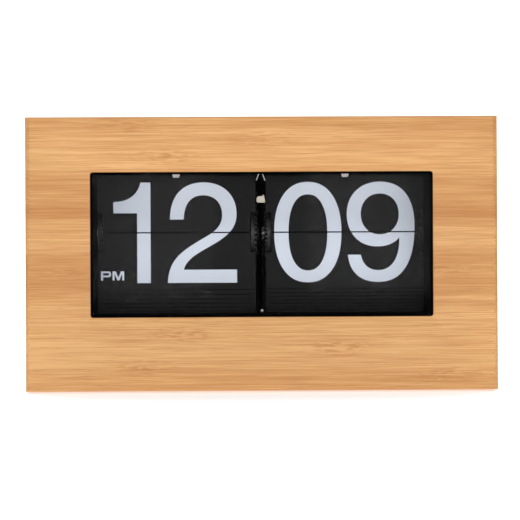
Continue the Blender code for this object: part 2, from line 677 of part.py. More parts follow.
def build_pawl(mat):
    """The pawl: a head in the gap between the modules, an arm beside the centre plate and its own pin."""
    pivot = (0.0, *PAWL_PIVOT)
    y, z = PAWL_PIVOT
    head = [(-12.0, 85.6), (-11.2, 85.2), (-9.4, 85.2), (-9.0, 86.0), (-9.0, 89.0), (-11.4, 88.6),
            (-12.0, 87.6)]
    arm = [(-10.6, 86.8), (-9.6, 86.4), (y + 1.0, z - 2.0), (y + 2.1, z - 0.6), (y + 2.1, z + 0.6),
           (y + 0.8, z + 1.9), (y - 1.6, z + 1.6), (-10.6, 88.4)]
    pin_reach, pin_radius = PAWL_PIN
    pawl = prism("reverse_pawl", mat["cream"], "X", -PAWL_HALF, PAWL_HALF, head, pivot=pivot)
    blade = prism("pawl_arm_guide", mat["cream"], "X", *PAWL_ARM, arm, pivot=pivot)
    stub = prism("pawl_pin_guide", mat["cream"], "X", -pin_reach, pin_reach,
                 circle(pin_radius, 16, PAWL_PIVOT), pivot=pivot)
    unite(pawl, [blade, stub])


def build():
    for old in list(bpy.data.objects):
        bpy.data.objects.remove(old)
    mat = make_materials()
    build_case(mat)
    build_window(mat)
    build_rear(mat)
    build_battery(mat)
    build_chassis(mat)
    for name, side, step, shaft_end in (("hour", -1, HOUR_STEP, 79.5), ("minute", 1, MINUTE_STEP, 83.5)):
        build_drum(mat, name, side, step, shaft_end)
        build_leaves(mat, name, side, step)
    build_gears(mat)
    build_setting(mat)
    build_motor(mat)
    build_wiring(mat)
    build_pawl(mat)


build()
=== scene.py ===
"""The looks of the flip number clock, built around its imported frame.

Lengths are in millimetres until a mesh is made, in the frame's own axes: X right, Y back, Z up.
"""
import json
import math

import bmesh
import bpy
from mathutils import Matrix, Vector


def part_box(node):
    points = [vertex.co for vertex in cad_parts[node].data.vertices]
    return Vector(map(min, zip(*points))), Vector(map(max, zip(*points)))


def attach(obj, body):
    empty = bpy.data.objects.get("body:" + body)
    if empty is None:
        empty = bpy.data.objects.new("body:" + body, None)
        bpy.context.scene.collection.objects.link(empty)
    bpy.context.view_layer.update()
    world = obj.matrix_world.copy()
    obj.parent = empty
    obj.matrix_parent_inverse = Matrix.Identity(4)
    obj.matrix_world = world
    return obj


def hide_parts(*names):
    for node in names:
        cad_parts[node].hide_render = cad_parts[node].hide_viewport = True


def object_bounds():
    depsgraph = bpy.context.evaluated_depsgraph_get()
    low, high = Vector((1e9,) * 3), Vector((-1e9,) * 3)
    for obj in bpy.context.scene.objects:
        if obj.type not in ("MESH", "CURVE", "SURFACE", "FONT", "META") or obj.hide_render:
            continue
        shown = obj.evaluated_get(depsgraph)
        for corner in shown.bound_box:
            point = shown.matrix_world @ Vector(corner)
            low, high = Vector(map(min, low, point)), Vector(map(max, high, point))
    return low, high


MM = 0.001
TAU = math.tau

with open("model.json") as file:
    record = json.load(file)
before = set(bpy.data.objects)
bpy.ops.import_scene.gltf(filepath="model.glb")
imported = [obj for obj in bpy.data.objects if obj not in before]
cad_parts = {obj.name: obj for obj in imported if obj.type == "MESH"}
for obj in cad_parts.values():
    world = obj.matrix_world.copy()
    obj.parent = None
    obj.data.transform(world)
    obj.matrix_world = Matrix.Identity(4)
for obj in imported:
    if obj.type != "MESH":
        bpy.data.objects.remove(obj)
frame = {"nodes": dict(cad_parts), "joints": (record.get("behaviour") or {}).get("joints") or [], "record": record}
cad_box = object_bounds()
joints = {joint["name"]: joint for joint in frame["joints"]}


def corners(node):
    """A CAD node's lowest and highest corners, in millimetres."""
    low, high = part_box(node)
    return low / MM, high / MM


def joint_place(name):
    """A joint's (Y, Z), in millimetres."""
    return Vector(joints[name]["pos_m"][1:]) / MM


AXIS = joint_place("minute_drum_spin")
MODULES = {"hour": (-1, 7.5), "minute": (1, 6.0)}  # side of the clock, degrees from leaf to leaf
PIN_RADIUS = 16.8           # from the drums' axis to the leaves' pins
SPLIT = 0.6                 # the open line between an upper and a lower leaf
LEAF_LENGTH = 25.3          # from the pins to the free edge
LEAF_THICK = 0.12
LEAF_INNER = 2.4            # from the clock's middle to a leaf's near and far edges
LEAF_OUTER = 74.9
LEAF_CORNER = 1.0
LEAF_PACK_TAIL = 0.2        # how far the leaves behind run past their pins
NOTCH_WIDTH = 2.4           # the notch that clears a flange, and its end above the split line
NOTCH_REACH = 9.2
EAR = 0.22                  # the ears that turn in the flanges' slots
EAR_HALF = 0.35
LEAF_SHARE = "share_of_length"
INK, INK_LIFT = 0.01, 0.002


# ---------------------------------------------------------------- mesh helpers

def place(axis, level, point):
    """A point of an outline, set at a level along the axis that the outline is square to."""
    u, v = point
    if axis == "X":
        return Vector((level, u, v))
    if axis == "Y":
        return Vector((u, level, v))
    return Vector((u, v, level))


def circle(radius, count, centre=(0.0, 0.0)):
    angles = [TAU * i / count for i in range(count)]
    return [(centre[0] + radius * math.cos(a), centre[1] + radius * math.sin(a)) for a in angles]


def rectangle(low, high):
    return [(low[0], low[1]), (high[0], low[1]), (high[0], high[1]), (low[0], high[1])]


def rounded(low, high, radius, steps=6):
    """A rectangle with a quarter circle at each corner."""
    left, right = low[0] + radius, high[0] - radius
    bottom, top = low[1] + radius, high[1] - radius
    points = []
    for quarter, (x, z) in enumerate(((right, top), (left, top), (left, bottom), (right, bottom))):
        for i in range(steps + 1):
            angle = math.pi / 2 * (quarter + i / steps)
            points.append((x + radius * math.cos(angle), z + radius * math.sin(angle)))
    return points


def add_wall(bm, first, second):
    count = len(first)
    for i in range(count):
        j = (i + 1) % count
        bm.faces.new((first[i], first[j], second[j], second[i]))


def add_cap(bm, loops):
    if len(loops) == 1:
        bm.faces.new(loops[0])
        return
    edges = [bm.edges.get((loop[i - 1], loop[i])) for loop in loops for i in range(len(loop))]
    bmesh.ops.triangle_fill(bm, edges=edges, use_beauty=True, use_dissolve=False)


def add_rings(bm, axis, rings):
    layers = [[bm.verts.new(place(axis, level, p) * MM) for p in outline] for level, outline in rings]
    for first, second in zip(layers, layers[1:]):
        add_wall(bm, first, second)
    return layers


def add_solid(bm, axis, rings, holes=()):
    """A closed body through rings of (level, outline); a hole is such rings too, with the same ends."""
    layers = add_rings(bm, axis, rings)
    bores = [add_rings(bm, axis, hole) for hole in holes]
    for end in (0, -1):
        add_cap(bm, [layers[end]] + [bore[end] for bore in bores])


def straight(rings, outline):
    """A hole of one outline, from a body's first ring to its last."""
    return [(rings[end][0], outline) for end in (0, -1)]


def finish_piece(name, bm, material, body, smooth=None, bevel=None):
    """Make an object of the mesh, and set what it rides on and the slot of its finish."""
    bmesh.ops.recalc_face_normals(bm, faces=bm.faces)
    mesh = bpy.data.meshes.new(name)
    bm.to_mesh(mesh)
    bm.free()
    mesh.materials.append(material)
    if smooth:
        mesh.shade_smooth()
        mesh.set_sharp_from_angle(angle=math.radians(smooth))
    piece = bpy.data.objects.new(name, mesh)
    bpy.context.scene.collection.objects.link(piece)
    if bevel:
        modifier = piece.modifiers.new("soft edges", "BEVEL")
        modifier.width = bevel * MM
        modifier.segments = 3
        modifier.limit_method = "ANGLE"
        modifier.angle_limit = math.radians(40)
        modifier.harden_normals = True
        mesh.shade_smooth()
    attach(piece, body)
    return piece


def make_solid(name, material, body, axis, rings, holes=(), smooth=None, bevel=None):
    bm = bmesh.new()
    add_solid(bm, axis, rings, holes)
    return finish_piece(name, bm, material, body, smooth, bevel)


# ---------------------------------------------------------------- materials

class Shader:
    """A Principled material, with short calls for the nodes that feed it."""

    def __init__(self, name, **values):
        self.material = bpy.data.materials.new(name)
        self.material.use_nodes = True
        self.nodes = self.material.node_tree.nodes
        self.links = self.material.node_tree.links
        self.surface = self.nodes["Principled BSDF"]
        self.place = self.add("ShaderNodeTexCoord").outputs["Object"]
        for key, value in values.items():
            self.surface.inputs[key.replace("_", " ")].default_value = value

    def add(self, kind, settings=None, **inputs):
        node = self.nodes.new(kind)
        for key, value in (settings or {}).items():
            setattr(node, key, value)
        for key, value in inputs.items():
            self.feed(node.inputs[key.replace("_", " ")], value)
        return node

    def feed(self, socket, value):
        if isinstance(value, bpy.types.NodeSocket):
            self.links.new(value, socket)
        else:
            socket.default_value = value

    def math(self, operation, first, second=0.0, clamp=False):
        node = self.add("ShaderNodeMath", {"operation": operation, "use_clamp": clamp})
        self.feed(node.inputs[0], first)
        self.feed(node.inputs[1], second)
        return node.outputs[0]

    def stretch(self, scale):
        """Object coordinates times a number, or times one number for each axis."""
        each = scale if isinstance(scale, (list, tuple)) else (scale,) * 3
        return self.add("ShaderNodeMapping", Vector=self.place, Scale=each).outputs["Vector"]

    def noise(self, vector, detail=3.0):
        node = self.add("ShaderNodeTexNoise", Vector=vector, Scale=1.0, Detail=detail, Roughness=0.55)
        return node.outputs["Fac"]

    def ramp(self, value, stops, interpolation="LINEAR"):
        """A colour ramp; each stop is (position, colour or grey)."""
        node = self.add("ShaderNodeValToRGB", Fac=value)
        node.color_ramp.interpolation = interpolation
        elements = node.color_ramp.elements
        while len(elements) < len(stops):
            elements.new(0.5)
        for element, (position, colour) in zip(elements, stops):
            element.position = position
            element.color = (*colour, 1.0) if isinstance(colour, tuple) else (*(colour,) * 3, 1.0)
        return node.outputs["Color"]

    def mix(self, share, first, second):
        node = self.add("ShaderNodeMix", {"data_type": "RGBA"})
        self.feed(node.inputs[0], share)
        self.feed(node.inputs[6], first)
        self.feed(node.inputs[7], second)
        return node.outputs[2]

    def sway(self, value, amount):
        """A noise value centred on nought, times an amount."""
        return self.math("MULTIPLY", self.math("SUBTRACT", value, 0.5), amount)

    def spread(self, value, low, high, to_low=0.0, to_high=1.0):
        node = self.add("ShaderNodeMapRange", Value=value, From_Min=low, From_Max=high,
                        To_Min=to_low, To_Max=to_high)
        return node.outputs["Result"]

    def colour(self, value):
        self.feed(self.surface.inputs["Base Color"], value)

    def roughness(self, value):
        self.feed(self.surface.inputs["Roughness"], value)

    def bump(self, height, depth):
        """Relief of a real depth in millimetres."""
        node = self.add("ShaderNodeBump", Height=height, Distance=depth * MM, Strength=1.0)
        self.links.new(node.outputs["Normal"], self.surface.inputs["Normal"])


BAMBOO_DARK = (0.455, 0.196, 0.057)
BAMBOO_MID = (0.555, 0.273, 0.097)
BAMBOO_PALE = (0.682, 0.390, 0.162)
PORE_BROWN = (0.36, 0.15, 0.05)
KNUCKLE_LENGTH, KNUCKLE_HEIGHT = 17.0, 4.2

# Tones across the front's laminations, from the base up: share of the case's height, 0 dark to 1 pale. The tones
# are partly the laminations' own and partly painted light: paler towards the base and darker towards the top, to
# even out how the lamps light the front.
FRONT_STRIPS = ((0.0, 0.68), (0.083, 0.70), (0.087, 0.84), (0.277, 0.74), (0.281, 0.62), (0.339, 0.48),
                (0.343, 0.36), (0.497, 0.33), (0.501, 0.54), (0.535, 0.72), (0.557, 0.64), (0.611, 0.55),
                (0.616, 0.36), (0.64, 0.10), (0.667, 0.13), (0.673, 0.37), (0.735, 0.46), (0.76, 0.36),
                (0.785, 0.55), (0.79, 0.64), (0.84, 0.76), (0.89, 0.70), (0.95, 0.54), (1.0, 0.50))
# Knuckles of the cane on the front: (X, Z) in millimetres
FRONT_KNUCKLES = ((-62.3, 119.1), (-42.7, 104.9), (1.0, 112.5), (82.4, 54.4), (-86.0, 53.1),
                  (-35.5, 25.8), (34.6, 20.0), (-51.6, 11.1), (82.4, 7.5))


def bamboo(name, run, stack, strips, knuckles, span):
    """Laminated bamboo: strips stacked along one axis, with fibres along another, and cane knuckles."""
    wood = Shader(name, Specular_IOR_Level=0.22, Coat_Weight=0.05, Coat_Roughness=0.3)
    split = wood.add("ShaderNodeSeparateXYZ", Vector=wood.place)
    along, across = split.outputs[run], split.outputs[stack]
    wander = 1.6
    level = wood.math("ADD", across, wood.sway(wood.noise(wood.stretch(6.0), detail=1.0), wander * MM))
    share = wood.spread(level, span[0] * MM, span[1] * MM)
    tone = wood.ramp(share, strips)

    def fibres(length, thickness, detail):
        """Noise drawn out along the fibres; lengths in millimetres."""
        scale = [1000.0 / thickness] * 3
        scale["XYZ".index(run)] = 1000.0 / length
        return wood.noise(wood.stretch(scale), detail=detail)

    broad, streak, hair = fibres(160, 5.0, 2.0), fibres(55, 1.1, 3.0), fibres(24, 0.42, 4.0)
    for fibre, strength in ((broad, 0.6), (streak, 0.95), (hair, 1.5)):
        tone = wood.math("ADD", tone, wood.sway(fibre, strength))
    colour = wood.ramp(tone, ((0.0, BAMBOO_DARK), (0.5, BAMBOO_MID), (1.0, BAMBOO_PALE)))

    if knuckles:
        nearest = 0.0
        for x, z in knuckles:
            dx = wood.math("DIVIDE", wood.math("SUBTRACT", along, x * MM), KNUCKLE_LENGTH * MM)
            dz = wood.math("DIVIDE", wood.math("SUBTRACT", across, z * MM), KNUCKLE_HEIGHT * MM)
            square = wood.math("ADD", wood.math("MULTIPLY", dx, dx), wood.math("MULTIPLY", dz, dz))
            near = wood.math("SUBTRACT", 1.0, wood.math("SQRT", square), clamp=True)
            nearest = wood.math("MAXIMUM", nearest, near)
        dashes = wood.spread(fibres(5.5, 0.75, 3.0), 0.47, 0.60)
        mark = wood.math("MULTIPLY", wood.math("POWER", nearest, 0.6), dashes, clamp=True)
        colour = wood.mix(wood.math("MULTIPLY", mark, 0.85), colour, (*BAMBOO_DARK, 1.0))
    pores = wood.spread(fibres(14, 0.40, 2.0), 0.61, 0.71)
    colour = wood.mix(wood.math("MULTIPLY", pores, 0.45), colour, (*PORE_BROWN, 1.0))
    wood.colour(colour)
    wood.roughness(wood.spread(streak, 0.3, 0.7, 0.38, 0.52))
    wood.bump(wood.math("SUBTRACT", hair, wood.math("MULTIPLY", pores, 0.5)), 0.035)
    return wood.material


def even_strips(count, seed):
    """Tones for a plain stack of equal laminations, with a hard step between neighbours."""
    stops = []
    for i in range(count):
        tone = 0.5 + 0.28 * math.sin(seed + 2.4 * i) * math.cos(1.3 * i + seed)
        stops += [(i / count + 0.004, tone), ((i + 1) / count - 0.004, tone + 0.05)]
    return tuple(stops)


def moulded(name, colour, roughness, grain=0.35, depth=0.012, specular=0.5, tint=0.12):
    """Moulded plastic with a fine spark-eroded grain and slight unevenness; grain in millimetres."""
    plastic = Shader(name, Specular_IOR_Level=specular)
    fine = plastic.noise(plastic.stretch(1000 / grain), detail=2.0)
    cloud = plastic.noise(plastic.stretch(60.0))
    paler = tuple(min(1.0, c * (1 + tint)) for c in colour)
    darker = tuple(c * (1 - tint) for c in colour)
    plastic.colour(plastic.ramp(cloud, ((0.3, darker), (0.7, paler))))
    plastic.roughness(plastic.spread(cloud, 0.3, 0.7, roughness - 0.05, roughness + 0.05))
    plastic.bump(fine, depth)
    return plastic.material


def leaf_sheet():
    """Thin black sheet, with painted shade darkening its free end for the shadow line between stacked leaves."""
    sheet = Shader("leaf_black", Specular_IOR_Level=0.04)
    share = sheet.add("ShaderNodeAttribute", {"attribute_name": LEAF_SHARE}).outputs["Fac"]
    face, tip_shade = (0.0140, 0.0140, 0.0145), (0.0045, 0.0045, 0.0045)
    width = 0.4 / LEAF_LENGTH
    # Painted shade: the last 0.4 mm towards each leaf's free end is darkened to stand in for the shadow between
    # stacked leaf tips.
    sheet.colour(sheet.ramp(share, ((0.0, face), (1 - 1.5 * width, face), (1 - width, tip_shade), (1.0, tip_shade))))
    sheet.roughness(sheet.spread(sheet.noise(sheet.stretch(60.0)), 0.3, 0.7, 0.45, 0.55))
    sheet.bump(sheet.noise(sheet.stretch(2000.0), detail=2.0), 0.003)
    return sheet.material


def metal(name, colour, roughness, run="X"):
    """Drawn or turned metal with fine lines along one axis."""
    drawn = Shader(name, Metallic=1.0)
    scale = [9000.0] * 3
    scale["XYZ".index(run)] = 120.0
    lines = drawn.noise(drawn.stretch(scale), detail=2.0)
    drawn.colour(drawn.ramp(lines, ((0.3, tuple(c * 0.86 for c in colour)), (0.7, colour))))
    drawn.roughness(drawn.spread(lines, 0.3, 0.7, roughness - 0.06, roughness + 0.08))
    drawn.bump(lines, 0.002)
    return drawn.material


def clear_sheet():
    """Clear acrylic, kept thin to the eye: only a faint haze and its surface gloss show."""
    sheet = Shader("clear_acrylic", Base_Color=(0.02, 0.022, 0.024, 1.0), Alpha=0.02, IOR=1.49)
    haze = sheet.noise(sheet.stretch(90.0), detail=2.0)
    sheet.roughness(sheet.spread(haze, 0.3, 0.7, 0.02, 0.06))
    return sheet.material


def cell_sleeve():
    """A plain shrink sleeve in two colours, with bare metal at each end of a cell."""
    sleeve = Shader("cell_sleeve", Coat_Weight=0.4, Coat_Roughness=0.1)
    split = sleeve.add("ShaderNodeSeparateXYZ", Vector=sleeve.place)
    first, second = corners("battery_cell_left"), corners("battery_cell_right")
    span = second[0].x - first[0].x
    reach = sleeve.math("SUBTRACT", split.outputs["X"], first[0].x * MM)
    phase = sleeve.math("FRACT", sleeve.math("DIVIDE", reach, span * MM))
    bands = ((0.0, (0.45, 0.45, 0.47)), (0.012, (0.02, 0.02, 0.024)), (0.70, (0.55, 0.30, 0.08)),
             (0.962, (0.62, 0.62, 0.64)))
    sleeve.colour(sleeve.ramp(phase, bands, "CONSTANT"))
    sleeve.roughness(sleeve.spread(sleeve.noise(sleeve.stretch(300.0)), 0.3, 0.7, 0.22, 0.36))
    return sleeve.material


def circuit_board():
    board = Shader("circuit_board", Coat_Weight=0.3)
    grid = board.add("ShaderNodeTexBrick", Vector=board.place, Scale=120.0,
                     Color1=(0.02, 0.17, 0.07, 1.0), Color2=(0.03, 0.21, 0.09, 1.0),
                     Mortar=(0.10, 0.30, 0.12, 1.0))
    board.colour(grid.outputs["Color"])
    board.roughness(board.spread(board.noise(board.stretch(200.0)), 0.3, 0.7, 0.3, 0.45))
    return board.material


def make_materials():
    height = tuple(corner.z for corner in corners("front_panel"))
    depth = tuple(corner.y for corner in corners("top_panel"))
    level_knuckles, side_knuckles = ((-70.0, 5.0), (48.0, 24.0)), ((6.0, 40.0), (20.0, 92.0))
    return {
        "front": bamboo("bamboo_front", "X", "Z", FRONT_STRIPS, FRONT_KNUCKLES, height),
        "level": bamboo("bamboo_level", "X", "Y", even_strips(4, 0.7), level_knuckles, depth),
        "side": bamboo("bamboo_side", "Y", "Z", even_strips(6, 2.1), side_knuckles, height),
        "batten": bamboo("batten_wood", "Z", "Y", even_strips(2, 4.0), (), depth),
        "case_black": moulded("case_black", (0.010, 0.010, 0.011), 0.5, grain=0.6, depth=0.02,
                              specular=0.3),
        # Partly real black plastic, partly painted shade: made darker than a moulding and without gloss so that
        # the deep gap between the modules reads as shade.
        "chassis_black": moulded("chassis_black", (0.0014, 0.0014, 0.0016), 0.7, specular=0.0),
        "drum_black": moulded("drum_black", (0.008, 0.008, 0.0085), 0.35, specular=0.3),
        "leaf_black": leaf_sheet(),
        "ink": moulded("white_ink", (0.67, 0.73, 0.83), 0.5, grain=0.3, depth=0.003, specular=0.3,
                       tint=0.02),
        "lens": clear_sheet(),
        "steel": metal("steel", (0.46, 0.46, 0.48), 0.32),
        "bright_wire": metal("bright_wire", (0.92, 0.92, 0.93), 0.35),
        "contact_steel": metal("contact_steel", (0.75, 0.75, 0.77), 0.22),
        "motor_steel": metal("motor_steel", (0.60, 0.60, 0.63), 0.34, "Z"),
        "brass": metal("brass", (0.78, 0.57, 0.25), 0.28),
        "gear_white": moulded("gear_white", (0.82, 0.81, 0.77), 0.4, tint=0.03),
        "gear_black": moulded("gear_black", (0.004, 0.004, 0.0045), 0.4, specular=0.2),
        "catch_white": moulded("catch_white", (0.72, 0.66, 0.65), 0.4, tint=0.05),
        "pawl_cream": moulded("pawl_cream", (0.62, 0.57, 0.47), 0.38, tint=0.06),
        "knob_black": moulded("knob_black", (0.02, 0.02, 0.021), 0.4, grain=0.4),
        "foot_rubber": moulded("foot_rubber", (0.018, 0.018, 0.018), 0.8, grain=0.25, depth=0.02,
                               specular=0.25),
        "cell": cell_sleeve(),
        "board": circuit_board(),
        "wire_red": moulded("red_insulation", (0.50, 0.025, 0.018), 0.35, tint=0.08),
        "wire_black": moulded("black_insulation", (0.015, 0.015, 0.016), 0.35, tint=0.08),
    }


def dress_frame(mat):
    """Give every CAD node the finish of its slot; the window liner and the hubs in the gap get the near-black
    without gloss, partly their own black plastic and partly painted shade for the deep gap.
    """
    for part in frame["record"]["subparts"]:
        node = frame["nodes"][part["node"]]
        finish = mat.get(part["material_slot"], mat["level"])
        if not node.material_slots:
            node.data.materials.append(finish)
        for slot in node.material_slots:
            slot.material = finish
    frame["nodes"]["leaf_guide_wire"].material_slots[0].material = mat["bright_wire"]
    for name in ("window_liner", "hour_hub", "minute_hub"):
        frame["nodes"][name].material_slots[0].material = mat["chassis_black"]


# ---------------------------------------------------------------- case

def build_case(mat):
    """The bamboo case: a front panel with its round-over, and four panels behind it."""
    low, high = corners("front_panel")
    side_round, top_round, depth, steps = 2.5, 1.0, 2.0, 12
    rings = [(high.y, rectangle((low.x, low.z), (high.x, high.z)))]
    for i in range(steps + 1):
        angle = math.pi / 2 * i / steps
        inset_x = side_round * (1 - math.cos(angle))
        inset_z = top_round * (1 - math.cos(angle))
        level = low.y + depth * (1 - math.sin(angle))
        rings.append((level, rectangle((low.x + inset_x, low.z + inset_z),
                                       (high.x - inset_x, high.z - inset_z))))
    lens_low, lens_high = corners("window_lens")
    rim, corner, ease, mid = 0.8, 1.2, 0.3, 0.3

    def window(grow):
        edge = rim + grow
        return rounded((lens_low.x - edge, lens_low.z - edge), (lens_high.x + edge, lens_high.z + edge),
                       corner + grow)

    opening = [(high.y, window(0.0)), (low.y + ease, window(0.0)),
               (low.y + ease * mid, window(ease * mid)), (low.y, window(ease))]
    front = make_solid("bamboo_front", mat["front"], "case", "Y", rings, holes=[opening],
                       smooth=50)
    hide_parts("front_panel")
    for name in ("top_panel", "bottom_panel", "left_panel", "right_panel"):
        low, high = corners(name)
        finish = mat["side"] if name.startswith(("left", "right")) else mat["level"]
        plan = rectangle(low.xy, high.xy)
        panel = make_solid("bamboo_" + name, finish, "case", "Z",
                           [(low.z, plan), (high.z, plan)], bevel=0.35)
        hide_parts(name)


def build_feet(mat):
    """Moulded rubber feet with a shallow dished face."""
    for name in ("foot_front_left", "foot_front_right", "foot_back_left", "foot_back_right"):
        low, high = corners(name)
        centre = ((low.x + high.x) / 2, (low.y + high.y) / 2)
        radius, height = (high.x - low.x) / 2, high.z
        profile = [(height, radius), (height * 0.4, radius), (height * 0.12, radius - 0.12),
                   (0.0, radius - 0.4), (0.0, radius - 1.6), (0.15, radius - 1.9)]
        foot = make_solid("rubber_" + name, mat["foot_rubber"], "case", "Z",
                          [(z, circle(r, 40, centre)) for z, r in profile], smooth=35)
        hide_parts(name)


# ---------------------------------------------------------------- leaves and digits

def on_drum(radius, degrees):
    """A (Y, Z) step from a drum's axis: 0 degrees faces the front, and 90 degrees is the top."""
    angle = math.radians(degrees)
    return Vector((-radius * math.cos(angle), radius * math.sin(angle)))


def leaf_pose(step, index):
    """A leaf's pin, and its directions along the leaf and out of its printed face."""
    lean = min(90.0 + step * index, 270.0)
    pin = on_drum(PIN_RADIUS, step * (index + 0.5)) + AXIS
    return pin, on_drum(1.0, lean), on_drum(1.0, lean - 90.0)


def pin_rise(step):
    return on_drum(PIN_RADIUS, step / 2).y


def leaf_outline(side, step, tail):
    """A leaf as (X, distance from its pin); tail is how far it runs past the pin."""
    notch = NOTCH_REACH - pin_rise(step)
    inner, outer = LEAF_INNER + NOTCH_WIDTH, LEAF_OUTER - NOTCH_WIDTH
    outer_ear, inner_ear = outer + EAR / 4, inner - EAR
    points = [(inner, -tail), (outer, -tail), (outer, -EAR_HALF), (outer_ear, -EAR_HALF),
              (outer_ear, EAR_HALF), (outer, EAR_HALF), (outer, notch), (LEAF_OUTER, notch)]
    steps = 4
    for x, quarter in ((LEAF_OUTER - LEAF_CORNER, 0), (LEAF_INNER + LEAF_CORNER, 1)):
        for i in range(steps + 1):
            angle = math.pi / 2 * (quarter + i / steps)
            points.append((x + LEAF_CORNER * math.cos(angle),
                           LEAF_LENGTH + LEAF_CORNER * (math.sin(angle) - 1)))
    points += [(LEAF_INNER, notch), (inner, notch), (inner, EAR_HALF), (inner_ear, EAR_HALF),
               (inner_ear, -EAR_HALF), (inner, -EAR_HALF)]
    return [(side * x, v) for x, v in points]


def set_on_leaf(pose, x, v, lift):
    """The place of a point on a leaf: v along it from its pins, and lift out of its printed face."""
    pin, along, out = pose
    at = pin + along * v + out * lift
    return Vector((x, at.x, at.y)) * MM


def add_leaf(bm, side, step, index, tail):
    """One leaf, each vertex keeping its share of the way from the pins to the free edge."""
    pose = leaf_pose(step, index)
    outline = leaf_outline(side, step, tail)
    share = bm.verts.layers.float.get(LEAF_SHARE) or bm.verts.layers.float.new(LEAF_SHARE)
    layers = [[bm.verts.new(set_on_leaf(pose, x, v, lift)) for x, v in outline]
              for lift in (-LEAF_THICK / 2, LEAF_THICK / 2)]
    for layer in layers:
        for vertex, (x, v) in zip(layer, outline):
            vertex[share] = max(0.0, v / LEAF_LENGTH)
    add_wall(bm, *layers)
    add_cap(bm, [layers[0]])
    add_cap(bm, [layers[1]])


def bezier(start, *segments):
    """A closed outline: a two-number segment is a straight line and a six-number one a cubic curve."""
    points, at = [start], start
    for segment in segments:
        if len(segment) == 2:
            points.append(segment)
        else:
            a, b, end = segment[0:2], segment[2:4], segment[4:6]
            steps = 14
            for i in range(1, steps + 1):
                t = i / steps
                weights = ((1 - t) ** 3, 3 * t * (1 - t) ** 2, 3 * t * t * (1 - t), t ** 3)
                pulls = list(zip(weights, (at, a, b, end)))
                points.append(tuple(sum(w * p[k] for w, p in pulls) for k in (0, 1)))
        at = points[-1]
    if math.dist(points[0], points[-1]) < 1e-6:
        points.pop()
    return points


def oval(x, z, rx, rz, fullness, count=72):
    """An ellipse whose sides are fuller than a plain one's when fullness is over 2."""
    points = []
    for i in range(count):
        c, s = math.cos(TAU * i / count), math.sin(TAU * i / count)
        points.append((x + rx * math.copysign(abs(c) ** (2 / fullness), c),
                       z + rz * math.copysign(abs(s) ** (2 / fullness), s)))
    return points


MODULE_MIDDLE = 38.4
GLYPH_SIZE = 0.988
# Glyphs, X from the middle of their module and Z from the split line: the outline, then its counter
GLYPHS = {
    "1": [bezier((-29.45, 9.1), (-18.45, 9.1), (-18.45, -23.3), (-12.25, -23.3), (-12.25, 23.3),
                 (-16.85, 23.3), (-18.25, 17.2, -22.85, 14.3, -29.45, 14.3))],
    "2": [bezier((-3.25, 6.1), (3.15, 6.1), (3.25, 13.2, 6.45, 17.3, 12.05, 17.3),
                 (17.45, 17.3, 20.95, 13.8, 20.95, 8.3), (20.95, 3.6, 18.55, 1.0, 13.65, -1.8),
                 (2.6, -8.2, -3.95, -12.0, -4.35, -23.3), (27.75, -23.3), (27.75, -17.2), (3.05, -17.2),
                 (4.45, -12.6, 8.05, -10.4, 15.25, -6.4), (23.75, -1.7, 27.65, 2.0, 27.65, 8.6),
                 (27.65, 17.4, 21.45, 23.3, 12.25, 23.3), (2.65, 23.3, -3.25, 17.0, -3.25, 6.1))],
    "0": [oval(-17.05, 0.0, 15.6, 23.3, 2.25), oval(-17.0, -0.15, 9.0, 17.65, 2.3)],
    "9": [bezier((1.55, -10.6), (7.55, -10.6), (8.25, -15.2, 11.35, -17.8, 15.65, -17.8),
                 (21.95, -17.8, 25.65, -12.0, 25.45, -2.6), (23.25, -5.4, 19.65, -6.8, 15.25, -6.8),
                 (6.75, -6.8, 1.05, -0.6, 1.05, 8.3), (1.05, 17.2, 7.35, 23.3, 16.35, 23.3),
                 (27.15, 23.3, 32.55, 15.6, 32.55, 3.0), (32.55, -14.2, 26.85, -23.3, 15.65, -23.3),
                 (7.35, -23.3, 2.15, -18.6, 1.55, -10.6)),
          oval(16.4, 8.3, 8.85, 9.5, 2.1)],
    "P": [bezier((-35.3, -22.0), (-35.3, -17.8), (-32.0, -17.8),
                 (-31.0, -17.8, -30.6, -18.35, -30.6, -19.15),
                 (-30.6, -19.95, -31.0, -20.5, -32.0, -20.5), (-34.3, -20.5), (-34.3, -22.0)),
          bezier((-34.3, -18.6), (-32.2, -18.6), (-31.75, -18.6, -31.55, -18.8, -31.55, -19.15),
                 (-31.55, -19.5, -31.75, -19.7, -32.2, -19.7), (-34.3, -19.7))],
    "M": [bezier((-29.95, -22.0), (-29.95, -17.8), (-28.45, -17.8), (-27.25, -20.7), (-26.05, -17.8),
                 (-24.55, -17.8), (-24.55, -22.0), (-25.5, -22.0), (-25.5, -18.9), (-26.8, -22.0),
                 (-27.7, -22.0), (-29.0, -18.9), (-29.0, -22.0))],
}


